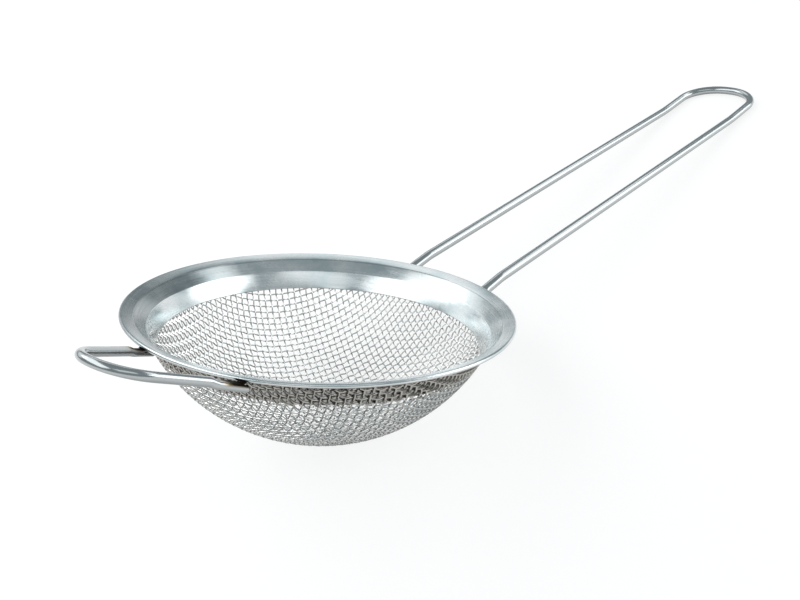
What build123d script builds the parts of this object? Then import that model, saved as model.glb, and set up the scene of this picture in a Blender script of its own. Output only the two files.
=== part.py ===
from build123d import *
import math
import os

# A small hand-held kitchen strainer: a pressed bowl of woven stainless wire held in a folded
# sheet rim, with a long looped wire handle on one side and a short wire rest on the other.
#
# Every piece is drawn in the bowl's own frame: the origin is the middle of the rim at the height
# of its highest circle, +Z is the bowl's axis and +X points along the handle. The whole strainer
# is then tipped about Y until it lies as it comes to rest, on its bowl and the loop's end.
# All sizes are in millimetres.

# Rim, one folded sheet
RIM_RADIUS = 40.0
SHEET = 0.3
EDGE_HEIGHT = 0.9
CREASE = (37.28, -0.78)
BEND = (34.98, -3.16)
SKIRT_END = (32.94, -6.86)
HEM_INNER_RADIUS = 38.0
HEM_UNDERSIDE = -1.15
FOLD_RADIUS = 0.5
ROLL_FACETS = 4

# Bowl of woven wire
BOWL_OUTER_RADIUS = 38.45
BOWL_DEPTH = 27.3
CLOTH = 0.6
WALL = 0.36
COLLAR_TOP = -1.55
WEAVE_PITCH = 8.0
WEAVE_TURN = 67.0
RIDGE_WIDTH = 0.9
RIDGE_INSET = 0.02
GAP_WIDTH = 6.0
GAP_REACH = 30.0
COLLAR_LAP_ANGLE = 2.0
CAP_DROP = 0.3

# Handle, one bent wire
HANDLE_WIRE = 2.4
HANDLE_HALF_WIDTH = 11.25
HANDLE_RISE = 15.14
HANDLE_LINE_HEIGHT = -0.9
HANDLE_KNEE_X = 45.7
CURL_START_X = 160.0
CURL = 3.8
LOOP_END_X = 180.7
LOOP_CORNER = 10.6
KNEE_BEND = 12.0
CURL_BEND = 60.0
HANDLE_TAB = (3.0, 1.6)

# Front rest, one bent wire; places along a leg are counted from its root
REST_WIRE = 1.8
REST_ROOT = (35.27, 12.8)
REST_ROOT_HEIGHT = -2.63
REST_REACH = 58.57
REST_TIP_HALF_WIDTH = 5.92
REST_TIP_RADIUS = 7.8
REST_RISE = 20.0
REST_TURN = 11.4
REST_TAB = (2.3, 1.4)
LEFT_LEG_TAB = (1.2, 5.3)
RIGHT_LEG_TAB = (1.4, 7.6)
WELD_RADIUS = 0.6
WELD_TOP = -0.75
WELD_PLACE = 2.0

TAB_START_RADIUS = 38.0
TAB_FOOT_RADIUS = 40.5
SWELL = 1.7
TAB_END_ROUNDING = 0.4
TAB_EDGE_ROUNDING = 0.3

BOWL_INNER_RADIUS = BOWL_OUTER_RADIUS - CLOTH
BOWL_CENTRE = BOWL_OUTER_RADIUS - BOWL_DEPTH


def offset_points(points, distance):
    """Mitred copy of an open outline, moved to its left by the distance."""
    directions = [(Vector(*b) - Vector(*a)).normalized() for a, b in zip(points, points[1:])]
    normals = [Vector(-d.Y, d.X) for d in directions]
    moved = []
    for index, point in enumerate(points):
        before = normals[max(index - 1, 0)]
        after = normals[min(index, len(normals) - 1)]
        mitre = (before + after) / (1 + before.dot(after))
        moved.append(Vector(*point) + mitre * distance)
    return moved


def rim_sheet_lines():
    """Upper and lower outlines of the sheet, from the rolled edge down to the skirt's end."""
    edge = (RIM_RADIUS - EDGE_HEIGHT / 2, 0.0)
    upper = [Vector(*edge), Vector(*CREASE), Vector(*BEND), Vector(*SKIRT_END)]
    lower = offset_points([edge, CREASE, BEND, SKIRT_END], SHEET)
    return upper, lower


def revolve_profile(face):
    """Turn a face drawn as radius and height about the bowl's axis."""
    return revolve(Plane.XZ * face, Axis.Z, 360)


def make_rim():
    """Folded band: rolled outer edge and hem, sloping lip, shoulder and skirt."""
    upper, lower = rim_sheet_lines()
    lip_run = (upper[0].X - HEM_INNER_RADIUS) / (upper[0].X - upper[1].X)
    hem_root = lower[0] + (lower[1] - lower[0]) * lip_run
    hem_root = Vector(HEM_INNER_RADIUS, hem_root.Y)
    hem_foot = Vector(HEM_INNER_RADIUS, HEM_UNDERSIDE)
    edge_foot = Vector(upper[0].X, -EDGE_HEIGHT)
    edge_side = Vector(RIM_RADIUS, -EDGE_HEIGHT / 2)
    top = FilletPolyline(*upper, radius=FOLD_RADIUS + SHEET)
    under = Polyline(upper[-1], lower[3], lower[2], lower[1], hem_root, hem_foot, edge_foot)
    roll = ThreePointArc(edge_foot, edge_side, upper[0])
    facets = Polyline(*(roll @ (step / ROLL_FACETS) for step in range(ROLL_FACETS + 1)))
    return revolve_profile(make_face([*top.edges(), *under.edges(), *facets.edges()]))


def ball_point(radius, angle):
    """Point of the bowl's round profile, by its angle in degrees from the bottom."""
    swing = math.radians(angle)
    return Vector(radius * math.sin(swing), BOWL_CENTRE - radius * math.cos(swing))


def ball_arc(radius, low_angle, high_angle):
    """Stretch of the bowl's round profile between two angles from the bottom."""
    ends = (low_angle, (low_angle + high_angle) / 2, high_angle)
    return ThreePointArc(*(ball_point(radius, angle) for angle in ends))


def make_collar():
    """Upper part of the cloth, which follows the skirt and shoulder up to the hem."""
    lower = rim_sheet_lines()[1]
    foot, bend, crease = lower[3], lower[2], lower[1]
    along = (bend.Y - COLLAR_TOP) / (bend.Y - crease.Y)
    top = bend + (crease - bend) * along
    foot_angle = math.degrees(math.atan2(foot.X, BOWL_CENTRE - foot.Y))
    low_angle = foot_angle - COLLAR_LAP_ANGLE
    inner = [ball_point(BOWL_INNER_RADIUS, foot_angle), bend, top]
    outer = [ball_point(BOWL_OUTER_RADIUS, foot_angle), *offset_points([foot, bend, top], -CLOTH)[1:]]
    cover = Polyline(*inner, *reversed(outer))
    inner_lap = ball_arc(BOWL_INNER_RADIUS, low_angle, foot_angle)
    outer_lap = ball_arc(BOWL_OUTER_RADIUS, low_angle, foot_angle)
    low_edge = Line(inner_lap @ 0, outer_lap @ 0)
    return revolve_profile(make_face([*cover.edges(), inner_lap, outer_lap, low_edge]))


def cloth_shell(outer_radius, inner_radius):
    """Spherical cap of the cloth below the foot of the collar."""
    foot = rim_sheet_lines()[1][3]
    cap_top = foot.Y - CAP_DROP
    # The balls lie on their side, so that no pole or seam falls in the part that is kept.
    ball = Pos(0, 0, BOWL_CENTRE) * Rot(0, -90, 0) * (Sphere(outer_radius) - Sphere(inner_radius))
    return split(ball, bisect_by=Plane.XY.offset(cap_top), keep=Keep.BOTTOM)


def weave_lines():
    """Places of the ridges across the bowl, one pitch apart."""
    count = int(BOWL_INNER_RADIUS // WEAVE_PITCH)
    return [index * WEAVE_PITCH for index in range(-count, count + 1)]


def gap_places():
    """Middles of the gaps, one in each cell between the ridges."""
    centres = [place + WEAVE_PITCH / 2 for place in weave_lines()]
    return [(x, y) for x in centres for y in centres if math.hypot(x, y) < GAP_REACH]


def make_mesh_bowl():
    """Woven bowl: a wall with crossing ridges on both faces and a gap in every cell."""
    relief = (CLOTH - WALL) / 2
    wall = cloth_shell(BOWL_OUTER_RADIUS - relief, BOWL_INNER_RADIUS + relief)
    thick = cloth_shell(BOWL_OUTER_RADIUS - RIDGE_INSET, BOWL_INNER_RADIUS + RIDGE_INSET)
    span = 2 * RIM_RADIUS
    strips = [Pos(0, place, 0) * Box(span, RIDGE_WIDTH, span) for place in weave_lines()]
    strips += [Pos(place, 0, 0) * Box(RIDGE_WIDTH, span, span) for place in weave_lines()]
    turn = Rot(0, 0, WEAVE_TURN)
    ridges = thick & (turn * (strips[0] + strips[1:]))
    holes = [Pos(x, y, -BOWL_DEPTH / 2) * Box(GAP_WIDTH, GAP_WIDTH, span) for x, y in gap_places()]
    return wall + ridges + make_collar() - [turn * hole for hole in holes]


def round_section(point, direction, wire):
    """Face of the round wire, square to its run."""
    return Plane(origin=point, z_dir=direction) * Circle(wire / 2)


def pressed_section(point, direction, tab, drop=0.0):
    """Face of the flattened wire, square to its run and with its width level."""
    width, height = tab
    side = Vector(0, 0, 1).cross(direction)
    plane = Plane(origin=point, x_dir=side, z_dir=direction)
    return plane * Pos(0, -drop) * RectangleRounded(width, height, height * TAB_EDGE_ROUNDING)


def bent_wire(points, radii, wire):
    """Round wire swept through the points, with a round bend at each corner."""
    path = FilletPolyline(*points, radius=radii)
    start, towards = Vector(*points[0]), Vector(*points[1])
    return sweep(round_section(start, (towards - start).normalized(), wire), path=path)


def level_end(start, foot, swell_end, wire, tab):
    """Flattened tab level under the hem, swelling to the round wire just outside the rim."""
    width, height = tab
    outward = (foot - start).normalized()
    rise = (swell_end - foot).normalized()
    middle = (start + foot) / 2
    heading = math.degrees(math.atan2(outward.Y, outward.X))
    length = (foot - start).length
    plan = Pos(middle.X, middle.Y, middle.Z - height / 2) * Rot(0, 0, heading) * Rectangle(length, width)
    plan = fillet(plan.vertices().sort_by_distance(start)[:2], width * TAB_END_ROUNDING)
    tab_solid = extrude(plan, height, dir=(0, 0, 1))
    swelling = loft([pressed_section(foot, outward, tab), round_section(swell_end, rise, wire)])
    return tab_solid + swelling


def straight_end(start, foot, wire, tab):
    """End of the wire pressed flat from above along its own line, swelling to the round wire."""
    outward = (foot - start).normalized()
    drop = (wire - tab[1]) / 2
    tab_solid = extrude(pressed_section(start, outward, tab, drop), (foot - start).length, dir=outward)
    swell_end = foot + outward * SWELL
    swelling = loft([pressed_section(foot, outward, tab, drop), round_section(swell_end, outward, wire)])
    return tab_solid + swelling


def handle_height(x):
    """Height of the handle's straight run at a distance along it."""
    height = HANDLE_LINE_HEIGHT + (min(x, CURL_START_X) - RIM_RADIUS) * math.tan(math.radians(HANDLE_RISE))
    return height + max(0, x - CURL_START_X) * math.tan(math.radians(HANDLE_RISE + CURL))


def make_handle():
    """Long loop of wire that leaves the hem level, rises at a knee and ends in a squared bow."""
    side = HANDLE_HALF_WIDTH
    tab_height = HEM_UNDERSIDE - HANDLE_TAB[1] / 2
    start = Vector(math.sqrt(TAB_START_RADIUS**2 - side**2), side, tab_height)
    foot = Vector(math.sqrt(TAB_FOOT_RADIUS**2 - side**2), side, tab_height)
    bends = [Vector(x, side, handle_height(x)) for x in (HANDLE_KNEE_X, CURL_START_X, LOOP_END_X)]
    begin = foot + (bends[0] - foot).normalized() * SWELL
    half = [begin, *bends]
    radii = [KNEE_BEND, CURL_BEND, LOOP_CORNER]
    other_half = [Vector(point.X, -point.Y, point.Z) for point in reversed(half)]
    wire = bent_wire(half + other_half, radii + radii[::-1], HANDLE_WIRE)
    end = level_end(start, foot, begin, HANDLE_WIRE, HANDLE_TAB)
    return wire + end + mirror(end, Plane.XZ)


def leg_place(along, side):
    """Point on a leg of the rest, at a distance from its root; side is 1 or -1."""
    root = Vector(-REST_ROOT[0], REST_ROOT[1])
    run = (Vector(-REST_REACH, REST_TIP_HALF_WIDTH) - root).normalized()
    plan = root + run * along
    return Vector(plan.X, side * plan.Y, REST_ROOT_HEIGHT + along * math.tan(math.radians(REST_RISE)))


def make_front_rest(rim):
    """Short loop of thinner wire that props the strainer on a pan, welded a little off line."""
    leg_length = math.hypot(REST_REACH - REST_ROOT[0], REST_ROOT[1] - REST_TIP_HALF_WIDTH)
    slant = math.cos(math.radians(REST_RISE))
    left_begin = leg_place(LEFT_LEG_TAB[1] + SWELL * slant, 1)
    right_begin = leg_place(RIGHT_LEG_TAB[1] + SWELL * slant, -1)
    points = [left_begin, leg_place(leg_length, 1), leg_place(leg_length, -1), right_begin]
    wire = bent_wire(points, [REST_TIP_RADIUS, REST_TIP_RADIUS], REST_WIRE)
    for side, (start, foot) in ((1, LEFT_LEG_TAB), (-1, RIGHT_LEG_TAB)):
        weld_foot = leg_place(WELD_PLACE, side)
        weld = extrude(Plane(weld_foot) * Circle(WELD_RADIUS), WELD_TOP - weld_foot.Z)
        wire += straight_end(leg_place(start, side), leg_place(foot, side), REST_WIRE, REST_TAB) + weld
    return Rot(0, 0, REST_TURN) * wire - rim


def rest_tilt():
    """Angle about Y at which the bowl and the loop's end touch one level surface."""
    end_x = LOOP_END_X
    end_z = handle_height(LOOP_END_X) - BOWL_CENTRE
    drop = BOWL_OUTER_RADIUS - HANDLE_WIRE / 2
    return math.degrees(math.asin(drop / math.hypot(end_x, end_z)) + math.atan2(end_z, end_x))


def main():
    rim = make_rim()
    nodes = {
        "rim": rim,
        "mesh_bowl": make_mesh_bowl(),
        "handle": make_handle(),
        "front_rest": make_front_rest(rim),
    }
    tilt = rest_tilt()
    tipped = {name: Rot(0, tilt, 0) * solid for name, solid in nodes.items()}
    boxes = [solid.bounding_box() for solid in tipped.values()]
    low_x, high_x = min(box.min.X for box in boxes), max(box.max.X for box in boxes)
    floor = min(box.min.Z for box in boxes)
    shift = Pos(-(low_x + high_x) / 2, 0, -floor)
    os.makedirs("parts", exist_ok=True)
    for name, solid in tipped.items():
        placed = shift * solid
        export_step(placed, f"parts/{name}.step")
        size = placed.bounding_box().size
        print(f"{name}: {size.X:.1f} x {size.Y:.1f} x {size.Z:.1f} mm, {placed.volume:.0f} mm3")
    print(f"tilt {tilt:.3f} deg, rim middle at x {-(low_x + high_x) / 2:.3f}, z {-floor:.3f}")


main()
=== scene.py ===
# %% [markdown]
# # A small kitchen strainer
#
# The real thing is four pieces of stainless steel: a bowl of woven wire, the folded sheet rim
# that grips its edge, a long looped wire handle and a short wire rest. The solids that come in
# with the frame already have the right sizes. This lesson dresses them: it draws the real weave,
# the pressed rim and the bent wires, and gives each the finish of its own metal.
#
# The first cell loads the frame.

# %% Load the frame
import math
import bpy
import numpy as np
from mathutils import Matrix, Vector


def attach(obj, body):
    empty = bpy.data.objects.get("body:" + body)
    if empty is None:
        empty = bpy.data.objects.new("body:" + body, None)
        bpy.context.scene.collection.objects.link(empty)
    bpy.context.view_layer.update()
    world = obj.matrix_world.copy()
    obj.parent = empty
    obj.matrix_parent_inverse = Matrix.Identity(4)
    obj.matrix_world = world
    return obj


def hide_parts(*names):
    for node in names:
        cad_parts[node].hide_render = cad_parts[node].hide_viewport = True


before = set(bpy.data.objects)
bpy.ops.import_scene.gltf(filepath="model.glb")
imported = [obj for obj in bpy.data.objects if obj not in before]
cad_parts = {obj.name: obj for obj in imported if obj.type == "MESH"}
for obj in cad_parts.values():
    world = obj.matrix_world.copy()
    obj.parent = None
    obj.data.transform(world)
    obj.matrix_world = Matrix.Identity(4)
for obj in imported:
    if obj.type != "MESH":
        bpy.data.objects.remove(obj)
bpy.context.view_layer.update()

MM = 0.001
print("solids:", sorted(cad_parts))

# %% [markdown]
# The strainer lies tipped on its bowl and the end of its loop. It is far easier to draw a bowl
# with its axis upright, so every piece is drawn upright about the middle of the rim, in
# millimetres, and laid down at the end by one matrix that goes into the mesh itself.

# %% The lie of the strainer
TILT = math.radians(20.419)
RIM_MIDDLE = Vector((-65.661, 0.0, 28.001))
LAY_DOWN = Matrix.Scale(MM, 4) @ Matrix.Translation(RIM_MIDDLE) @ Matrix.Rotation(TILT, 4, "Y")


def lie(point):
    """Place of an upright point once the strainer lies down, in metres."""
    return LAY_DOWN @ Vector(point)


print("rim middle lies at", [round(value, 4) for value in lie((0, 0, 0))])

# %% [markdown]
# A camera is a place and three directions: to its right, up and back. Written as the columns of
# a matrix, these aim it exactly, tilt and roll included. The place and the directions belong to
# the upright strainer too, and are laid down with it. A 40.5 mm lens on a 36 mm wide sensor gives
# a calm, slightly wide view.

# %% Camera
CAMERA_PLACE = (-119.247, -129.379, 60.232)
CAMERA_RIGHT = Vector((0.67807, -0.73244, 0.06118))
CAMERA_UP = Vector((0.19119, 0.25614, 0.94754))

camera_data = bpy.data.cameras.new("studio_camera")
camera_data.lens = 40.5
camera_data.sensor_width = 36.0
camera_data.shift_x = -0.0097
camera_data.clip_start = 0.01
camera = bpy.data.objects.new("studio_camera", camera_data)
bpy.context.scene.collection.objects.link(camera)
turn = Matrix.Rotation(TILT, 3, "Y")
right = (turn @ CAMERA_RIGHT).normalized()
up = (turn @ CAMERA_UP).normalized()
aim = Matrix((right, up, right.cross(up))).transposed().to_4x4()
camera.matrix_world = Matrix.Translation(lie(CAMERA_PLACE)) @ aim
bpy.context.scene.camera = camera
print("camera at", [round(value, 4) for value in camera.location])

# %% [markdown]
# Three small helpers serve all the pieces. Blender's operators act on whatever is selected, so
# the first clears the selection and the second selects one piece. The third finishes a piece: it
# merges doubles, turns the faces outwards, lays the mesh down, leaves the object at the origin
# and smooths the shading except across sharp folds.

# %% Helpers for shapes
def start_clean():
    """Nothing selected and nothing in edit mode."""
    if bpy.context.object and bpy.context.object.mode != "OBJECT":
        bpy.ops.object.mode_set(mode="OBJECT")
    bpy.ops.object.select_all(action="DESELECT")


def only(piece):
    """Make one object the selected and active one."""
    start_clean()
    piece.select_set(True)
    bpy.context.view_layer.objects.active = piece


def settle(piece, name, smooth_degrees=40):
    """Name a piece drawn upright in millimetres, lay it down and smooth it."""
    only(piece)
    piece.name = name
    piece.data.name = name
    bpy.ops.object.transform_apply(location=True, rotation=True, scale=True)
    bpy.ops.object.mode_set(mode="EDIT")
    bpy.ops.mesh.select_all(action="SELECT")
    bpy.ops.mesh.remove_doubles(threshold=0.0005)
    bpy.ops.mesh.normals_make_consistent(inside=False)
    bpy.ops.object.mode_set(mode="OBJECT")
    piece.matrix_world = LAY_DOWN
    bpy.ops.object.transform_apply(location=True, rotation=True, scale=True)
    bpy.ops.object.shade_smooth_by_angle(angle=math.radians(smooth_degrees))
    print(name, "has", len(piece.data.polygons), "faces")
    return piece


# %% [markdown]
# ## The metals
#
# All four pieces are austenitic stainless steel, the plain kitchen grade, but each was made in
# its own way and shines in its own way. A metal has no colour under its surface, so the base
# colour is what it reflects, and the roughness says how sharp the reflection is. One function
# turns a hex colour to the linear numbers that a shader wants, and one adds a node.

# %% Helpers for materials
def linear(hex_colour):
    """Linear RGBA from an sRGB hex colour."""
    parts = [int(hex_colour[i:i + 2], 16) / 255 for i in (1, 3, 5)]
    return (*[p / 12.92 if p <= 0.04045 else ((p + 0.055) / 1.055)**2.4 for p in parts], 1.0)


def add_node(tree, kind, settings=None, **inputs):
    """New node with its settings; an input is a value or the socket that feeds it."""
    node = tree.nodes.new(kind)
    for key, value in (settings or {}).items():
        setattr(node, key, value)
    for key, value in inputs.items():
        socket = node.inputs[int(key[1:]) if key[0] == "i" and key[1:].isdigit() else key.replace("_", " ")]
        if isinstance(value, bpy.types.NodeSocket):
            tree.links.new(value, socket)
        else:
            socket.default_value = value
    return node


def new_metal(name, base_hex, roughness):
    """Metal with one base colour and roughness; returns it with its tree and shader."""
    metal = bpy.data.materials.new(name)
    metal.use_nodes = True
    shader = metal.node_tree.nodes["Principled BSDF"]
    shader.inputs["Metallic"].default_value = 1.0
    shader.inputs["Base Color"].default_value = linear(base_hex)
    shader.inputs["Roughness"].default_value = roughness
    return metal, metal.node_tree, shader


def paint(piece, metal):
    """Give a piece one material."""
    piece.data.materials.clear()
    piece.data.materials.append(metal)


# %% [markdown]
# A pattern needs to know where on the strainer it is. Object coordinates give that, and they
# stay with the piece wherever it goes. They are turned back to the upright bowl, in millimetres,
# so that a pattern can follow the distance from the axis, as the marks of a press do.

# %% Where a point is on the upright bowl
def upright_coordinates(tree):
    """Object coordinates in millimetres about the middle of the rim, with the bowl upright."""
    place = add_node(tree, "ShaderNodeTexCoord").outputs["Object"]
    moved = add_node(tree, "ShaderNodeVectorMath", {"operation": "MULTIPLY_ADD"}, i0=place,
                     i1=(1 / MM, 1 / MM, 1 / MM), i2=tuple(-RIM_MIDDLE)).outputs[0]
    return add_node(tree, "ShaderNodeMapping", {"vector_type": "POINT"}, Vector=moved,
                    Rotation=(0.0, -TILT, 0.0)).outputs[0]


def distance_from_axis(tree, upright):
    """Distance from the bowl's axis in millimetres."""
    flat = add_node(tree, "ShaderNodeVectorMath", {"operation": "MULTIPLY"}, i0=upright,
                    i1=(1.0, 1.0, 0.0)).outputs[0]
    return add_node(tree, "ShaderNodeVectorMath", {"operation": "LENGTH"}, i0=flat).outputs["Value"]


def upright_normal(tree):
    """Height part of the surface's normal with the bowl upright: 1 faces up, -1 faces down."""
    normal = add_node(tree, "ShaderNodeNewGeometry").outputs["Normal"]
    stood = add_node(tree, "ShaderNodeMapping", {"vector_type": "VECTOR"}, Vector=normal,
                     Rotation=(0.0, -TILT, 0.0)).outputs[0]
    return add_node(tree, "ShaderNodeSeparateXYZ", Vector=stood).outputs["Z"]


print("patterns are measured from", [round(value, 3) for value in RIM_MIDDLE], "mm")

# %% [markdown]
# Rolled stainless sheet leaves the mill bright and slightly blue. Pressing the rim in a tool
# that turns leaves fine rings around it, and handling leaves broad soft smears. Both go into the
# roughness, so the rings catch the light as thin arcs and the smears blur it here and there. Real
# rings are finer than a tenth of a millimetre; these are drawn coarser so that they show.

# %% Pressed sheet: rings and smears
RING_SPACING = 0.35
SMEAR_SCALE = 0.085

sheet_steel, tree, shader = new_metal("pressed_stainless_sheet", "#CDD1D1", 0.24)
upright = upright_coordinates(tree)
radius = distance_from_axis(tree, upright)
slow = add_node(tree, "ShaderNodeVectorMath", {"operation": "SCALE"}, i0=upright, Scale=0.02).outputs[0]
outward = add_node(tree, "ShaderNodeCombineXYZ", X=radius).outputs[0]
both = add_node(tree, "ShaderNodeVectorMath", {"operation": "ADD"}, i0=outward, i1=slow).outputs[0]
rings = add_node(tree, "ShaderNodeTexNoise", Vector=both, Scale=1 / RING_SPACING, Detail=3.0).outputs["Fac"]
smears = add_node(tree, "ShaderNodeTexNoise", Vector=upright, Scale=SMEAR_SCALE, Detail=4.0,
                  Roughness=0.6).outputs["Fac"]
polish = add_node(tree, "ShaderNodeMapRange", Value=rings, i1=0.3, i2=0.7, i3=0.16, i4=0.28).outputs[0]
smeared = add_node(tree, "ShaderNodeMapRange", Value=smears, i1=0.35, i2=0.65, i3=-0.04,
                   i4=0.08).outputs[0]
total = add_node(tree, "ShaderNodeMath", {"operation": "ADD"}, i0=polish, i1=smeared).outputs[0]
tree.links.new(total, shader.inputs["Roughness"])
ridge = add_node(tree, "ShaderNodeBump", Height=rings, Strength=0.12, Distance=0.00002).outputs[0]
tree.links.new(ridge, shader.inputs["Normal"])
print("rings every", RING_SPACING, "mm, smears about", round(1 / SMEAR_SCALE), "mm wide")

# %% [markdown]
# The colour has three layers over the steel's own pale blue grey. A dark line of painted shade runs
# beside the crease, and the press leaves three fainter lines on the lip. A painted dark reflection,
# grey blue, lies over a third of the lip and shoulder. Faces of the sheet that look down, such as
# the back that the collar of the cloth hides, get painted brown grey shade, so the collar looks deep.

# %% Pressed sheet: colour
CREASE_SHADE_AND_LIP_LINES = ((37.15, 0.12, 0.36), (38.35, 0.09, 0.12), (38.85, 0.08, 0.12), (39.3, 0.08, 0.14))
# Where the painted dark reflection lies: an arc around the axis, and outside a radius in millimetres.
DARK_REFLECTION_MIDDLE, DARK_REFLECTION_FULL, DARK_REFLECTION_END = (math.radians(degrees) for degrees in (130, 28, 60))
DARK_REFLECTION_INNER_RADIUS = 35.0

spread = add_node(tree, "ShaderNodeMapRange", Value=smears, i1=0.38, i2=0.62, i3=0.0, i4=1.0).outputs[0]
shade = add_node(tree, "ShaderNodeMix", {"data_type": "RGBA"}, i0=spread, i6=linear("#C6D0D2"),
                 i7=linear("#E6E8E8")).outputs[2]
# The first line, beside the crease, is painted shade; the other three are fainter lines on the lip.
for line_radius, half_width, strength in CREASE_SHADE_AND_LIP_LINES:
    away = add_node(tree, "ShaderNodeMath", {"operation": "SUBTRACT"}, i0=radius, i1=line_radius).outputs[0]
    away = add_node(tree, "ShaderNodeMath", {"operation": "ABSOLUTE"}, i0=away).outputs[0]
    mark = add_node(tree, "ShaderNodeMapRange", Value=away, i1=0.0, i2=half_width, i3=strength,
                    i4=0.0).outputs[0]
    shade = add_node(tree, "ShaderNodeMix", {"data_type": "RGBA"}, i0=mark, i6=shade,
                     i7=linear("#4A5052")).outputs[2]

# Painted dark reflection: an arc of the lip and shoulder is mixed towards grey blue.
parts = add_node(tree, "ShaderNodeSeparateXYZ", Vector=upright).outputs
around = add_node(tree, "ShaderNodeMath", {"operation": "ARCTAN2"}, i0=parts["Y"], i1=parts["X"]).outputs[0]
away = add_node(tree, "ShaderNodeMath", {"operation": "SUBTRACT"}, i0=around, i1=DARK_REFLECTION_MIDDLE).outputs[0]
away = add_node(tree, "ShaderNodeMath", {"operation": "ABSOLUTE"}, i0=away).outputs[0]
arc = add_node(tree, "ShaderNodeMapRange", Value=away, i1=DARK_REFLECTION_FULL, i2=DARK_REFLECTION_END, i3=0.55,
               i4=0.0).outputs[0]
outer = add_node(tree, "ShaderNodeMath", {"operation": "GREATER_THAN"}, i0=radius,
                 i1=DARK_REFLECTION_INNER_RADIUS).outputs[0]
painted_dark_reflection = add_node(tree, "ShaderNodeMath", {"operation": "MULTIPLY"}, i0=arc, i1=outer).outputs[0]
shade = add_node(tree, "ShaderNodeMix", {"data_type": "RGBA"}, i0=painted_dark_reflection, i6=shade,
                 i7=linear("#5C686B")).outputs[2]
# Painted shade: faces of the sheet that look down are mixed towards brown grey.
back = add_node(tree, "ShaderNodeMapRange", Value=upright_normal(tree), i1=-0.6, i2=-0.05, i3=0.8,
                i4=0.0).outputs[0]
shade = add_node(tree, "ShaderNodeMix", {"data_type": "RGBA"}, i0=back, i6=shade,
                 i7=linear("#827D77")).outputs[2]
tree.links.new(shade, shader.inputs["Base Color"])
print("sheet steel has", len(tree.nodes), "nodes")

# %% [markdown]
# Wire is pulled through a die, which leaves it smoother along its length than sheet. The cloth is
# painted pale on faces that look up and dark grey on faces that look down, as painted shade, and
# the collar, where the cloth runs into the fold of the rim, is mixed towards a brown grey.

# %% Drawn wire of the cloth
COLLAR_FOOT, COLLAR_FULL = -7.4, -6.6

cloth_steel, tree, shader = new_metal("drawn_stainless_cloth_wire", "#DADAD6", 0.14)
upright = upright_coordinates(tree)
# Painted shade: faces that look down are mixed towards dark grey, faces that look up stay pale.
below = add_node(tree, "ShaderNodeMapRange", Value=upright_normal(tree), i1=-0.45, i2=0.4, i3=1.0,
                 i4=0.0).outputs[0]
shade = add_node(tree, "ShaderNodeMix", {"data_type": "RGBA"}, i0=below, i6=linear("#F0F0EE"),
                 i7=linear("#686965")).outputs[2]
# The collar, above the foot of the skirt, is mixed towards brown grey.
height = add_node(tree, "ShaderNodeSeparateXYZ", Vector=upright).outputs["Z"]
collar = add_node(tree, "ShaderNodeMapRange", Value=height, i1=COLLAR_FOOT, i2=COLLAR_FULL, i3=0.0,
                  i4=0.8).outputs[0]
shade = add_node(tree, "ShaderNodeMix", {"data_type": "RGBA"}, i0=collar, i6=shade,
                 i7=linear("#ACA8A2")).outputs[2]
tree.links.new(shade, shader.inputs["Base Color"])
patches = add_node(tree, "ShaderNodeTexNoise", Vector=upright, Scale=0.35, Detail=3.0).outputs["Fac"]
gloss = add_node(tree, "ShaderNodeMapRange", Value=patches, i1=0.3, i2=0.7, i3=0.09, i4=0.18).outputs[0]
tree.links.new(gloss, shader.inputs["Roughness"])
print("cloth wire has", len(tree.nodes), "nodes")

# %% [markdown]
# The thick wire is polished with a belt, which leaves faint lines along it. Its underside is painted
# dark as shade, which gives the lower edge. Its four ends were spot welded, and the heat left
# the flats of the rest brown, nearly black at the end and straw coloured where it fades. That
# colour is only on top and close to the hem, so it is mixed in by the distance from the axis and
# by how far the face looks up, with a little noise to make its edge uneven.

# %% Polished wire: lines and gloss
bright_steel, tree, shader = new_metal("polished_stainless_wire", "#B4B8B9", 0.16)
upright = upright_coordinates(tree)
drawn_out = add_node(tree, "ShaderNodeVectorMath", {"operation": "MULTIPLY"}, i0=upright,
                     i1=(0.15, 5.0, 5.0)).outputs[0]
lines = add_node(tree, "ShaderNodeTexNoise", Vector=drawn_out, Scale=1.0, Detail=3.0).outputs["Fac"]
gloss = add_node(tree, "ShaderNodeMapRange", Value=lines, i1=0.3, i2=0.7, i3=0.14, i4=0.2).outputs[0]
print("lines along the wire are", round(1 / 5.0, 1), "mm wide")

# %% Polished wire: heat tint and painted shade underneath
HEAT_TINTS = (("#A58E6C", 43.9, 45.6), ("#1E1813", 43.4, 44.8))

normal = add_node(tree, "ShaderNodeNewGeometry").outputs["Normal"]
upward = add_node(tree, "ShaderNodeSeparateXYZ", Vector=normal).outputs["Z"]
on_top = add_node(tree, "ShaderNodeMapRange", Value=upward, i1=0.1, i2=0.5, i3=0.0, i4=1.0).outputs[0]
along = add_node(tree, "ShaderNodeSeparateXYZ", Vector=upright).outputs["X"]
at_front = add_node(tree, "ShaderNodeMath", {"operation": "LESS_THAN"}, i0=along, i1=0.0).outputs[0]
on_top = add_node(tree, "ShaderNodeMath", {"operation": "MULTIPLY"}, i0=on_top, i1=at_front).outputs[0]
cloud = add_node(tree, "ShaderNodeTexNoise", Vector=upright, Scale=0.7, Detail=2.0).outputs["Fac"]
uneven = add_node(tree, "ShaderNodeMath", {"operation": "MULTIPLY_ADD"}, i0=cloud, i1=2.0,
                  i2=distance_from_axis(tree, upright)).outputs[0]
shade = linear("#B4B8B9")
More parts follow.
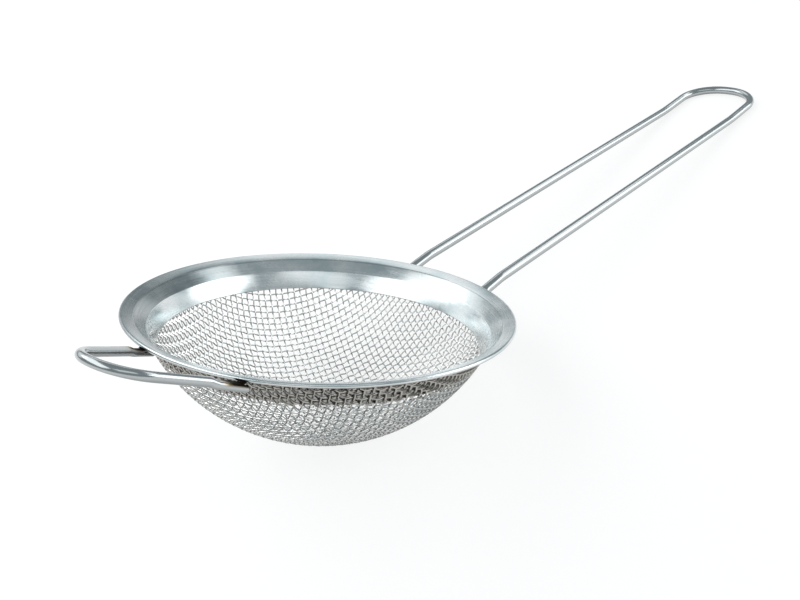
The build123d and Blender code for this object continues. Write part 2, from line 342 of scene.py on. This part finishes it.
for tint_hex, full, none in HEAT_TINTS:
    near = add_node(tree, "ShaderNodeMapRange", Value=uneven, i1=full, i2=none, i3=1.0, i4=0.0).outputs[0]
    amount = add_node(tree, "ShaderNodeMath", {"operation": "MULTIPLY"}, i0=near, i1=on_top).outputs[0]
    shade = add_node(tree, "ShaderNodeMix", {"data_type": "RGBA"}, i0=amount, i6=shade,
                     i7=linear(tint_hex)).outputs[2]
# Painted shade: faces that look down are mixed towards dark grey, for the dark lower edge.
painted_shade_underneath = add_node(tree, "ShaderNodeMapRange", Value=upward, i1=-0.65, i2=0.05, i3=0.7, i4=0.0).outputs[0]
shade = add_node(tree, "ShaderNodeMix", {"data_type": "RGBA"}, i0=painted_shade_underneath, i6=shade,
                 i7=linear("#4E5253")).outputs[2]
tree.links.new(shade, shader.inputs["Base Color"])
scaled = add_node(tree, "ShaderNodeMath", {"operation": "MULTIPLY_ADD"}, i0=amount, i1=0.55,
                  i2=gloss).outputs[0]
tree.links.new(scaled, shader.inputs["Roughness"])
print("polished wire has", len(tree.nodes), "nodes")

# %% [markdown]
# ## The rim
#
# The rim is one strip of sheet, 0.3 mm thick. Its outer edge is rolled over and folded back
# under as a hem, then it runs inwards as a nearly level lip, turns down at a crease, slopes as
# a shoulder and ends in a skirt inside the bowl. A lathe shape like this can be spun from a
# drawn outline, but here it starts as one circle that is extruded ring by ring along the
# outline: each extrusion is moved and resized to the next radius and height.

# %% The rim's outline
SHEET = 0.3
EDGE_RADIUS, CREASE_RADIUS, HEM_RADIUS = 39.55, 37.28, 38.0
LIP_FALL = 0.78
HEM_UNDERSIDE = -1.12
ROLL = 0.45
TOP_LINE = [(EDGE_RADIUS, 0.0), (CREASE_RADIUS, -LIP_FALL), (34.98, -3.16), (32.94, -6.86)]


def shift_line(points, distance):
    """Copy of an open outline, moved to its left and mitred at the corners."""
    line = [Vector(point) for point in points]
    runs = [(b - a).normalized() for a, b in zip(line, line[1:])]
    sides = [Vector((-run.y, run.x)) for run in runs]
    moved = []
    for index, point in enumerate(line):
        before, after = sides[max(index - 1, 0)], sides[min(index, len(sides) - 1)]
        moved.append(point + (before + after) / (1 + before.dot(after)) * distance)
    return moved


under_line = shift_line(TOP_LINE, SHEET)
lip_slope = LIP_FALL / (EDGE_RADIUS - CREASE_RADIUS)
hem_root_height = -SHEET - (EDGE_RADIUS - HEM_RADIUS) * lip_slope
edge_roll = [(EDGE_RADIUS + ROLL * math.cos(turn), -ROLL + ROLL * math.sin(turn))
             for turn in np.radians(range(-90, 90, 36))]
rim_outline = [*TOP_LINE, *[tuple(point) for point in reversed(under_line[1:])]]
rim_outline += [(HEM_RADIUS, hem_root_height), (HEM_RADIUS, HEM_UNDERSIDE), *edge_roll]
print("outline of", len(rim_outline), "points")

# %% The rim, extruded ring by ring
RIM_STEPS = 200

start_clean()
first_radius, first_height = rim_outline[0]
bpy.ops.mesh.primitive_circle_add(vertices=RIM_STEPS, radius=first_radius, location=(0, 0, first_height))
rim = bpy.context.object
bpy.ops.object.transform_apply(location=True, rotation=True, scale=True)
bpy.ops.object.mode_set(mode="EDIT")
bpy.ops.mesh.select_all(action="SELECT")
radius, height = first_radius, first_height
for next_radius, next_height in [*rim_outline[1:], rim_outline[0]]:
    bpy.ops.mesh.extrude_edges_move(TRANSFORM_OT_translate={"value": (0, 0, next_height - height)})
    grow = next_radius / radius
    bpy.ops.transform.resize(value=(grow, grow, 1), center_override=(0, 0, next_height))
    radius, height = next_radius, next_height
bpy.ops.mesh.select_all(action="SELECT")
bpy.ops.mesh.remove_doubles(threshold=0.001)
bpy.ops.object.mode_set(mode="OBJECT")
folds = rim.modifiers.new("folds", "BEVEL")
folds.width = 0.22
folds.segments = 3
folds.limit_method = "ANGLE"
folds.angle_limit = math.radians(10)
bpy.ops.object.modifier_apply(modifier=folds.name)
rim = settle(rim, "folded_rim", 30)
paint(rim, sheet_steel)
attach(rim, "root")
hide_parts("rim")

# %% [markdown]
# ## The woven bowl
#
# The cloth is plain weave: two families of crimped wires that pass over and under each other.
# Pressed into a bowl, the wires don't stretch. The crossings keep their distance and the square
# cells shear into diamonds instead, most of all along the two diagonals. A net like that can be
# worked out: start with two wires crossing at the bottom, and each further crossing is the point
# of the bowl that lies one pitch from its two neighbours.

# %% The bowl's form
PITCH = 1.47
WIRE = 0.33
BALL_RADIUS = 38.15
BALL_HEIGHT = 11.15
WEAVE_TURN = math.radians(67.0)
CLOTH_GAP = 0.3
COLLAR_REACH = 1.3

crease, bend, foot = shift_line(TOP_LINE[1:], SHEET + CLOTH_GAP)
collar_line = [foot, bend, bend + (crease - bend) * COLLAR_REACH]


def bowl_height(radius):
    """Height of the cloth's middle at a distance from the axis."""
    foot, bend, top = collar_line
    if radius < foot.x:
        return BALL_HEIGHT - math.sqrt(BALL_RADIUS**2 - radius**2)
    low, high = (foot, bend) if radius < bend.x else (bend, top)
    return low.y + (high.y - low.y) * (radius - low.x) / (high.x - low.x)


def bowl_slope(radius):
    """How fast the cloth rises with the distance from the axis."""
    return (bowl_height(radius + 0.01) - bowl_height(radius - 0.01)) / 0.02


print("cloth foot", tuple(round(value, 2) for value in collar_line[0]), "on the ball at",
      round(bowl_height(collar_line[0].x - 0.01), 2))

# %% [markdown]
# Each crossing is found by Newton's method, which improves a first guess a few times: the guess
# is corrected until it lies on the bowl and one pitch from both neighbours.

# %% One more crossing
def next_crossing(left, below, corner):
    """Point of the bowl one pitch from two neighbouring crossings."""
    point = left + below - corner
    for _ in range(8):
        radius = math.hypot(point[0], point[1])
        slope = bowl_slope(radius) / max(radius, 1e-6)
        misses = np.array([
            np.dot(point - left, point - left) - PITCH**2,
            np.dot(point - below, point - below) - PITCH**2,
            point[2] - bowl_height(radius),
        ])
        gains = np.array([
            2 * (point - left),
            2 * (point - below),
            [-slope * point[0], -slope * point[1], 1.0],
        ])
        point = point - np.linalg.solve(gains, misses)
    return point


# %% [markdown]
# The first two wires cross at the bottom and follow the bowl, so their crossings are found by
# halving an interval until the step is one pitch. From there the net is filled in quarter by
# quarter, until it is well past the rim.

# %% The net of crossings
REACH = 41
NET_RADIUS = 41.0


def first_wire(direction):
    """Crossings along a wire through the middle, one pitch apart."""
    points, radius = [np.array([0.0, 0.0, bowl_height(0.0)])], 0.0
    for _ in range(REACH):
        last_height = bowl_height(radius)
        low, high = radius, radius + PITCH
        for _ in range(40):
            middle = (low + high) / 2
            gone = math.hypot(middle - radius, bowl_height(middle) - last_height)
            low, high = (middle, high) if gone < PITCH else (low, middle)
        radius = low
        points.append(np.array([radius * direction[0], radius * direction[1], bowl_height(radius)]))
    return points


net = np.full((2 * REACH + 1, 2 * REACH + 1, 3), np.nan)
for sign_u in (1, -1):
    for sign_v in (1, -1):
        along_u = first_wire((sign_u, 0.0))
        along_v = first_wire((0.0, sign_v))
        for step in range(REACH + 1):
            net[REACH + sign_u * step, REACH] = along_u[step]
            net[REACH, REACH + sign_v * step] = along_v[step]
        for u in range(1, REACH + 1):
            for v in range(1, REACH + 1):
                here = (REACH + sign_u * u, REACH + sign_v * v)
                left = net[here[0] - sign_u, here[1]]
                below = net[here[0], here[1] - sign_v]
                corner = net[here[0] - sign_u, here[1] - sign_v]
                guess = left + below - corner
                if np.isnan(guess).any() or math.hypot(guess[0], guess[1]) > NET_RADIUS:
                    continue
                try:
                    found = next_crossing(left, below, corner)
                except np.linalg.LinAlgError:
                    continue
                if math.hypot(found[0], found[1]) < NET_RADIUS + 1 and np.linalg.norm(found - guess) < PITCH:
                    net[here] = found
print("crossings:", int(np.isfinite(net[:, :, 0]).sum()))

# %% [markdown]
# One wire is drawn flat: a six-sided circle, extruded along one wave of its crimp. Array
# modifiers repeat the wave along the wire and the wire across the cloth. Every second wire is
# half a wave along, so the even and odd wires are two pieces, and two more cross them.

# %% One crimped wave of wire
WAVE_STEPS = 8
CRIMP = 0.19
SIDES = 6


def crimped_wave(phase):
    """One wave of wire along X, two pitches long, starting at the origin."""
    start_clean()
    bpy.ops.mesh.primitive_circle_add(vertices=SIDES, radius=WIRE / 2, rotation=(0, math.pi / 2, 0))
    wave = bpy.context.object
    bpy.ops.object.transform_apply(location=True, rotation=True, scale=True)
    heights = [CRIMP * math.cos(2 * math.pi * step / WAVE_STEPS + phase) for step in range(WAVE_STEPS + 1)]
    bpy.ops.object.mode_set(mode="EDIT")
    bpy.ops.mesh.select_all(action="SELECT")
    bpy.ops.transform.translate(value=(0, 0, heights[0]))
    for low, high in zip(heights, heights[1:]):
        bpy.ops.mesh.extrude_edges_move(
            TRANSFORM_OT_translate={"value": (2 * PITCH / WAVE_STEPS, 0, high - low)})
    bpy.ops.object.mode_set(mode="OBJECT")
    return wave


def repeat(piece, count, offset, merge):
    """Array modifier with a fixed step, applied."""
    only(piece)
    array = piece.modifiers.new("array", "ARRAY")
    array.use_relative_offset = False
    array.use_constant_offset = True
    array.constant_offset_displace = offset
    array.count = count
    array.use_merge_vertices = merge
    array.merge_threshold = 0.002
    bpy.ops.object.modifier_apply(modifier=array.name)


print("one wave is", 2 * PITCH, "mm long and", WIRE + 2 * CRIMP, "mm high")

# %% [markdown]
# The flat cloth is then laid on the net: a vertex at so many pitches along and across goes to
# the same place between the crossings, raised along the bowl's normal by its height. What falls
# outside the rim is deleted and the cut ends are closed.

# %% Laying the wires on the net
CLOTH_EDGE_RADIUS = 36.9
node_radius = np.hypot(net[:, :, 0], net[:, :, 1])
slopes = np.array([[bowl_slope(r) if np.isfinite(r) else 0.0 for r in row] for row in node_radius])
unit = np.where(node_radius > 1e-6, node_radius, 1.0)
lean = np.dstack([-slopes * net[:, :, 0] / unit, -slopes * net[:, :, 1] / unit, np.ones_like(slopes)])
lean /= np.linalg.norm(lean, axis=2, keepdims=True)


def drape(flat):
    """Places on the bowl of flat cloth points given in millimetres."""
    u = flat[:, 0] / PITCH + REACH
    v = flat[:, 1] / PITCH + REACH
    column = np.clip(np.floor(u).astype(int), 0, 2 * REACH - 1)
    row = np.clip(np.floor(v).astype(int), 0, 2 * REACH - 1)
    part_u, part_v = (u - column)[:, None], (v - row)[:, None]

    def between(table):
        low = table[column, row] * (1 - part_u) + table[column + 1, row] * part_u
        high = table[column, row + 1] * (1 - part_u) + table[column + 1, row + 1] * part_u
        return low * (1 - part_v) + high * part_v

    return between(net) + between(lean) * flat[:, 2:3]


print("a flat point at the middle goes to", drape(np.zeros((1, 3)))[0].round(2))

# %% [markdown]
# Each set of wires is made flat and laid on the bowl. The sets that cross are the same mesh with
# its two directions swapped and its crimp turned over, so that every wire goes over where the
# other goes under. The whole cloth is then turned, as it came to lie under the press.

# %% The four sets of wires
def woven_wires(name, phase, across):
    """Every second wire of one family, laid on the bowl."""
    wires = crimped_wave(phase)
    repeat(wires, REACH, (2 * PITCH, 0, 0), True)
    repeat(wires, REACH, (0, 2 * PITCH, 0), False)
    wires.location = (-REACH * PITCH, (-REACH + (0 if phase == 0 else 1)) * PITCH, 0)
    bpy.ops.object.transform_apply(location=True, rotation=True, scale=True)
    mesh = wires.data
    flat = np.empty(len(mesh.vertices) * 3)
    mesh.vertices.foreach_get("co", flat)
    flat = flat.reshape(-1, 3)
    if across:
        flat = flat[:, (1, 0, 2)] * (1, 1, -1)
    laid = drape(flat)
    beyond = ~np.isfinite(laid[:, 0]) | (np.hypot(laid[:, 0], laid[:, 1]) > CLOTH_EDGE_RADIUS)
    laid[beyond] = 0.0
    mesh.vertices.foreach_set("co", laid.ravel())
    mesh.update()
    only(wires)
    bpy.ops.object.mode_set(mode="EDIT")
    bpy.ops.mesh.select_mode(type="VERT")
    bpy.ops.mesh.select_all(action="DESELECT")
    bpy.ops.object.mode_set(mode="OBJECT")
    mesh.vertices.foreach_set("select", beyond)
    bpy.ops.object.mode_set(mode="EDIT")
    bpy.ops.mesh.delete(type="VERT")
    bpy.ops.mesh.select_all(action="SELECT")
    bpy.ops.mesh.fill_holes(sides=SIDES)
    bpy.ops.object.mode_set(mode="OBJECT")
    wires.rotation_euler = (0, 0, WEAVE_TURN)
    wires = settle(wires, name, 60)
    paint(wires, cloth_steel)
    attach(wires, "root")
    return wires


cloth = [
    woven_wires("warp_wires_even", 0.0, False),
    woven_wires("warp_wires_odd", math.pi, False),
    woven_wires("weft_wires_even", 0.0, True),
    woven_wires("weft_wires_odd", math.pi, True),
]
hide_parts("mesh_bowl")
print("wires of", WIRE, "mm every", PITCH, "mm:", round(25.4 / PITCH), "to the inch")

# %% [markdown]
# ## The bent wires
#
# The handle and the rest are made on a wire bender: straight runs and round bends of one wire.
# They are drawn the same way. A circle is extruded along each straight run and spun through each
# bend about the bend's own centre.

# %% Bending a wire
WIRE_SIDES = 20


def bend_facts(before, corner, after, bend_radius):
    """Where a round bend starts, its centre, axis and angle."""
    into, out = (corner - before).normalized(), (after - corner).normalized()
    angle = into.angle(out)
    start = corner - into * bend_radius * math.tan(angle / 2)
    axis = into.cross(out).normalized()
    centre = start + axis.cross(into) * bend_radius
    return start, centre, axis, angle


def bend_wire(points, bend_radii, wire_radius):
    """Round wire through the points, upright, in millimetres, open at both ends."""
    points = [Vector(point) for point in points]
    run = (points[1] - points[0]).normalized()
    start_clean()
    bpy.ops.mesh.primitive_circle_add(vertices=WIRE_SIDES, radius=wire_radius, location=points[0],
                                      rotation=run.to_track_quat("Z", "Y").to_euler())
    wire = bpy.context.object
    bpy.ops.object.transform_apply(location=True, rotation=True, scale=True)
    bpy.ops.object.mode_set(mode="EDIT")
    bpy.ops.mesh.select_all(action="SELECT")
    bpy.ops.mesh.select_mode(type="EDGE")
    here = points[0]
    for *triple, bend_radius in zip(points, points[1:], points[2:], bend_radii):
        start, centre, axis, angle = bend_facts(*triple, bend_radius)
        bpy.ops.mesh.extrude_edges_move(TRANSFORM_OT_translate={"value": start - here})
        steps = max(4, round(math.degrees(angle) / 5))
        bpy.ops.mesh.spin(steps=steps, angle=-angle, center=centre, axis=axis)
        here = centre + Matrix.Rotation(angle, 3, axis) @ (start - centre)
    bpy.ops.mesh.extrude_edges_move(TRANSFORM_OT_translate={"value": points[-1] - here})
    bpy.ops.object.mode_set(mode="OBJECT")
    return wire


print("bent wires have", WIRE_SIDES, "sides")

# %% [markdown]
# The two ends are squeezed flat in a press before they are welded under the hem. A flat end is a
# plane with bevelled corners that is extruded to its length. It is joined to the wire, and a
# bridge between the two open edges makes the swell from flat to round.

# %% Pressing an end flat
def press_end(wire, wire_radius, start, foot, begin, width, height, drop=0.0):
    """Add an end pressed flat, from start to foot, and bridge it to the round wire at begin."""
    run = (foot - start).normalized()
    side = Vector((0, 0, 1)).cross(run).normalized()
    above = run.cross(side)
    start_clean()
    bpy.ops.mesh.primitive_plane_add(size=1)
    end = bpy.context.object
    end.scale = (width, height, 1)
    bpy.ops.object.transform_apply(location=True, rotation=True, scale=True)
    bpy.ops.object.mode_set(mode="EDIT")
    bpy.ops.mesh.select_all(action="SELECT")
    bpy.ops.mesh.bevel(offset=height * 0.4, segments=WIRE_SIDES // 4 - 1, affect="VERTICES")
    bpy.ops.object.mode_set(mode="OBJECT")
    turn = Matrix((side, above, run)).transposed().to_4x4()
    end.matrix_world = Matrix.Translation(start - above * drop) @ turn
    bpy.ops.object.transform_apply(location=True, rotation=True, scale=True)
    bpy.ops.object.mode_set(mode="EDIT")
    bpy.ops.mesh.select_all(action="SELECT")
    bpy.ops.mesh.extrude_region_move(TRANSFORM_OT_translate={"value": foot - start})
    bpy.ops.mesh.delete(type="ONLY_FACE")
    bpy.ops.object.mode_set(mode="OBJECT")
    only(wire)
    end.select_set(True)
    bpy.ops.object.join()
    near_foot, near_begin = width / 2 + drop + 0.05, wire_radius + 0.05
    bpy.ops.object.mode_set(mode="EDIT")
    bpy.ops.mesh.select_mode(type="VERT")
    bpy.ops.mesh.select_all(action="DESELECT")
    bpy.ops.object.mode_set(mode="OBJECT")
    for vertex in wire.data.vertices:
        at_foot = (vertex.co - foot).length < near_foot
        vertex.select = at_foot or (vertex.co - begin).length < near_begin
    bpy.ops.object.mode_set(mode="EDIT")
    bpy.ops.mesh.select_mode(type="EDGE")
    bpy.ops.mesh.bridge_edge_loops(number_cuts=3)
    bpy.ops.object.mode_set(mode="OBJECT")


def finish_wire(wire, name, metal):
    """Settle a bent wire and give it its metal."""
    wire = settle(wire, name, 50)
    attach(wire, "root")
    paint(wire, metal)
    return wire


# %% [markdown]
# The handle leaves the hem level, bends up, runs straight, and rises a little more towards the
# loop. One side is written down and the other is its mirror image.

# %% The handle
HANDLE_RADIUS = 1.2
HANDLE_SIDE = 11.25
HANDLE_TAB = (3.0, 1.6)
TAB_REACH = (38.0, 40.5)
WELD_GAP = 0.03
HANDLE_LEVEL = HEM_UNDERSIDE - WELD_GAP - HANDLE_TAB[1] / 2
HANDLE_ROOT_X, HANDLE_ROOT_HEIGHT = 40.0, -0.9
HANDLE_SLOPE, LIFTED_SLOPE = (math.tan(math.radians(degrees)) for degrees in (15.14, 18.94))
FIRST_BEND, LIFT_BEND, LOOP_END = 45.7, 160.0, 180.68
SIDE_BENDS = [12.0, 60.0, 10.6]
SWELL = 1.7


def handle_height(x):
    """Height of the straight run and of the slightly lifted end."""
    straight = HANDLE_ROOT_HEIGHT + (min(x, LIFT_BEND) - HANDLE_ROOT_X) * HANDLE_SLOPE
    return straight + max(0.0, x - LIFT_BEND) * LIFTED_SLOPE


tab_start, tab_foot = [
    Vector((math.sqrt(tab_radius**2 - HANDLE_SIDE**2), HANDLE_SIDE, HANDLE_LEVEL))
    for tab_radius in TAB_REACH
]
bends = [Vector((x, HANDLE_SIDE, handle_height(x))) for x in (FIRST_BEND, LIFT_BEND, LOOP_END)]
begin = tab_foot + (bends[0] - tab_foot).normalized() * SWELL
flip = Matrix.Diagonal((1, -1, 1))
other_side = [flip @ point for point in reversed([begin, *bends])]
handle = bend_wire([begin, *bends, *other_side], SIDE_BENDS + SIDE_BENDS[::-1], HANDLE_RADIUS)
press_end(handle, HANDLE_RADIUS, tab_start, tab_foot, begin, *HANDLE_TAB)
press_end(handle, HANDLE_RADIUS, flip @ tab_start, flip @ tab_foot, flip @ begin, *HANDLE_TAB)
handle = finish_wire(handle, "wire_handle", bright_steel)
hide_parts("handle")
print("the loop ends", round(LOOP_END, 1), "mm from the bowl's axis")

# %% [markdown]
# The rest is a small bow of thinner wire. Its two legs climb away from the hem, and it was welded
# on by hand, so one end runs further in under the hem than the other, the bow is turned a little
# off the handle's line, and each weld left a small bead on the flat.

# %% The front rest
REST_RADIUS = 0.9
REST_TAB = (2.3, 1.4)
REST_DROP = 0.2
REST_ROOT = Vector((-35.27, 12.8))
REST_TIP = Vector((-57.95, 5.92))
REST_ROOT_HEIGHT = -2.63
REST_SLOPE = math.radians(20.0)
REST_TURN = math.radians(11.4)
REST_BEND = 7.6
LEFT_TAB, RIGHT_TAB = (-0.4, 5.3), (2.4, 7.6)
RIGHT_SAG = 0.5
rest_run = (REST_TIP - REST_ROOT).normalized()
leg_length = (REST_TIP - REST_ROOT).length


def leg_place(along, side):
    """Point on a leg of the rest, so far from its root; side is 1 or -1."""
    plan = REST_ROOT + rest_run * along
    return Vector((plan.x, side * plan.y, REST_ROOT_HEIGHT + along * math.tan(REST_SLOPE)))


swell_run = SWELL * math.cos(REST_SLOPE)
left_begin = leg_place(LEFT_TAB[1] + swell_run, 1)
right_begin = leg_place(RIGHT_TAB[1] + swell_run, -1)
right_corner = leg_place(leg_length, -1) - Vector((0, 0, RIGHT_SAG))
rest_points = [left_begin, leg_place(leg_length, 1), right_corner, right_begin]
rest = bend_wire(rest_points, [REST_BEND, REST_BEND], REST_RADIUS)
for side, tab, begin in ((1, LEFT_TAB, left_begin), (-1, RIGHT_TAB, right_begin)):
    start, foot = [leg_place(along, side) for along in tab]
    press_end(rest, REST_RADIUS, start, foot, begin, *REST_TAB, REST_DROP)
print("legs of the rest are", round(leg_length, 1), "mm long")

# %% Weld beads on the rest
WELD_RADIUS = 0.75
WELD_LIFT = Vector((0, 0, 0.45))

for side, weld_place in ((1, 2.0), (-1, 2.9)):
    start_clean()
    bpy.ops.mesh.primitive_uv_sphere_add(segments=16, ring_count=8, radius=WELD_RADIUS,
                                         location=leg_place(weld_place, side) + WELD_LIFT)
    bead = bpy.context.object
    bpy.ops.object.mode_set(mode="EDIT")
    bpy.ops.transform.resize(value=(1, 1, 0.8))
    bpy.ops.object.mode_set(mode="OBJECT")
    only(rest)
    bead.select_set(True)
    bpy.ops.object.join()
rest.rotation_euler = (0, 0, REST_TURN)
rest = finish_wire(rest, "wire_rest", bright_steel)
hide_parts("front_rest")

# %% [markdown]
# ## Light and floor
#
# Polished steel shows little of its own: it shows the room. So the room is planned by what each
# part of the rim mirrors. The far skirt mirrors the high left, the wires mirror the low right,
# and the shoulder mirrors the ceiling. Soft boxes stand in the first two directions and the
# ceiling stays a dim blue grey, which gives bright skirts and dark, cool shoulders. Two boxes
# behind and one at the far right light the lip, and a weak one beside the camera lights the
# outside of the bowl.
#
# The floor is white acrylic lit from below, so it stays pale under the bowl as well. It is far
# wider than the strainer, because the steel mirrors it out to the horizon.

# %% Floor
FLOOR_SIZE = 40.0

start_clean()
bpy.ops.mesh.primitive_plane_add(size=FLOOR_SIZE)
floor = bpy.context.object
floor.name = "studio_floor"
white_acrylic, tree, shader = new_metal("white_acrylic_floor", "#8B8B8B", 0.6)
shader.inputs["Metallic"].default_value = 0.0
shader.inputs["Emission Color"].default_value = (1.0, 1.0, 1.0, 1.0)
shader.inputs["Emission Strength"].default_value = 0.78
paint(floor, white_acrylic)

# %% Soft light
LAMP_DISTANCE = 0.9


def soft_box(name, heading, height, width, depth, brightness):
    """Rectangular lamp that faces the strainer; angles in degrees, sizes in metres."""
    lamp = bpy.data.lights.new(name, "AREA")
    lamp.shape = "RECTANGLE"
    lamp.size, lamp.size_y = width, depth
    lamp.energy = brightness * math.pi * width * depth
    holder = bpy.data.objects.new(name, lamp)
    level = math.cos(math.radians(height))
    around = math.radians(heading)
    towards = Vector((level * math.cos(around), level * math.sin(around), math.sin(math.radians(height))))
    holder.location = towards * LAMP_DISTANCE
    holder.rotation_euler = towards.to_track_quat("Z", "Y").to_euler()
    bpy.context.scene.collection.objects.link(holder)


soft_box("left_soft_box", 137, 50, 1.4, 0.58, 1.55)
soft_box("right_soft_box", -43, 16, 0.7, 0.5, 2.1)
soft_box("back_soft_box", 52, 32, 0.5, 0.34, 0.85)
soft_box("back_left_soft_box", 98, 27, 0.65, 0.5, 0.78)
soft_box("far_right_soft_box", -13, 36, 0.6, 0.2, 1.3)
soft_box("camera_side_soft_box", -115, 50, 0.75, 0.35, 0.75)

print("soft boxes:", [light.name for light in bpy.data.lights])

# %% [markdown]
# The ceiling is the world's plain background. The view transform is Standard, which keeps white
# white and the dark greys of the steel dark, where the default would press them together.

# %% Ceiling
room = bpy.data.worlds.new("studio_room")
bpy.context.scene.world = room
room.use_nodes = True
ceiling = room.node_tree.nodes["Background"]
ceiling.inputs["Color"].default_value = (0.33, 0.375, 0.395, 1.0)
ceiling.inputs["Strength"].default_value = 1.0
bpy.context.scene.view_settings.view_transform = "Standard"
print("ceiling colour:", [round(part, 3) for part in ceiling.inputs["Color"].default_value[:3]])
